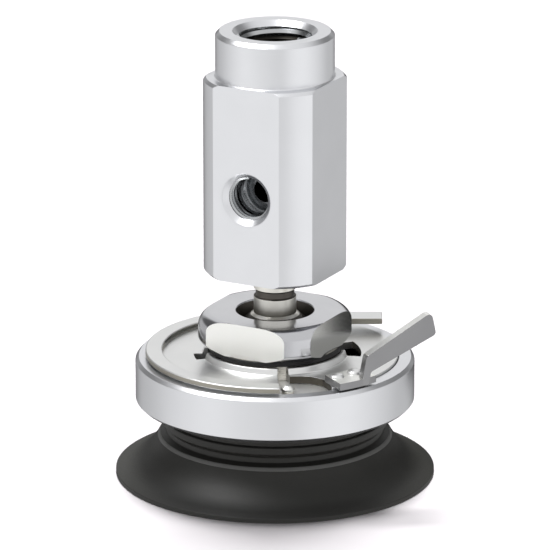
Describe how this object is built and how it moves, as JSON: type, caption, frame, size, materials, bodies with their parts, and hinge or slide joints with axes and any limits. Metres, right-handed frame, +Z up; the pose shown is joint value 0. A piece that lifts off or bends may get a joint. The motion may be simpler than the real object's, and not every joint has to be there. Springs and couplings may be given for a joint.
{
  "type": "ball joint vacuum pad",
  "caption": "Rubber suction cup under an aluminium ring, carried on a ball joint below a threaded square adapter with a side vacuum port, and held by a turning lock ring with a lever.",
  "frame": {"origin": "centre of the rubber lip's contact circle", "axes": "+Z up along the adapter's axis to the mounting thread, -Y towards the split of the lock ring"},
  "size_m": [0.063, 0.063, 0.09],
  "materials": {
    "clear_anodised_aluminium": "clear anodised, satin",
    "plain_aluminium": "turned",
    "turned_steel": "turned",
    "nickel_plated_steel": "turned and nickel plated",
    "stainless_sheet": "tumbled",
    "spring_steel": "rolled",
    "seat_plastic": "moulded",
    "seal_rubber": "moulded",
    "pad_rubber": "moulded, matt"
  },
  "bodies": {
    "adapter": {"adapter_body": "clear_anodised_aluminium", "ball_stud": "turned_steel", "stud_seal": "seal_rubber"},
    "liner": {"ball_liner": "seat_plastic"},
    "seats": {"upper_ball_seat": "seat_plastic", "lower_ball_seat": "seat_plastic"},
    "pad": {"socket_housing": "turned_steel", "ball_holder": "nickel_plated_steel", "ball_seal": "seal_rubber", "seat_spring": "spring_steel", "spigot_seal": "seal_rubber", "base_plate": "plain_aluminium", "pad_ring": "clear_anodised_aluminium", "pad_core": "turned_steel", "core_screws": "turned_steel", "rubber_pad": "pad_rubber", "stop_pin": "turned_steel", "lock_spring": "spring_steel"},
    "lock": {"lock_ring": "stainless_sheet", "lock_band": "stainless_sheet", "lock_lever": "stainless_sheet", "finger_tab": "stainless_sheet", "clip_rivets": "stainless_sheet"}
  },
  "joints": [
    {"name": "tilt_fore", "type": "hinge", "parent": "adapter", "child": "liner", "pos_m": [0, 0, 0.0262], "axis": [1, 0, 0], "range_deg": [-15, 15]},
    {"name": "tilt_side", "type": "hinge", "parent": "liner", "child": "seats", "pos_m": [0, 0, 0.0262], "axis": [0, 1, 0], "range_deg": [-15, 15]},
    {"name": "swivel", "type": "hinge", "parent": "seats", "child": "pad", "pos_m": [0, 0, 0.0262], "axis": [0, 0, 1], "continuous": true},
    {"name": "lock_turn", "type": "hinge", "parent": "pad", "child": "lock", "pos_m": [0, 0, 0.0226], "axis": [0, 0, 1], "range_deg": [-18, 0]}
  ]
}
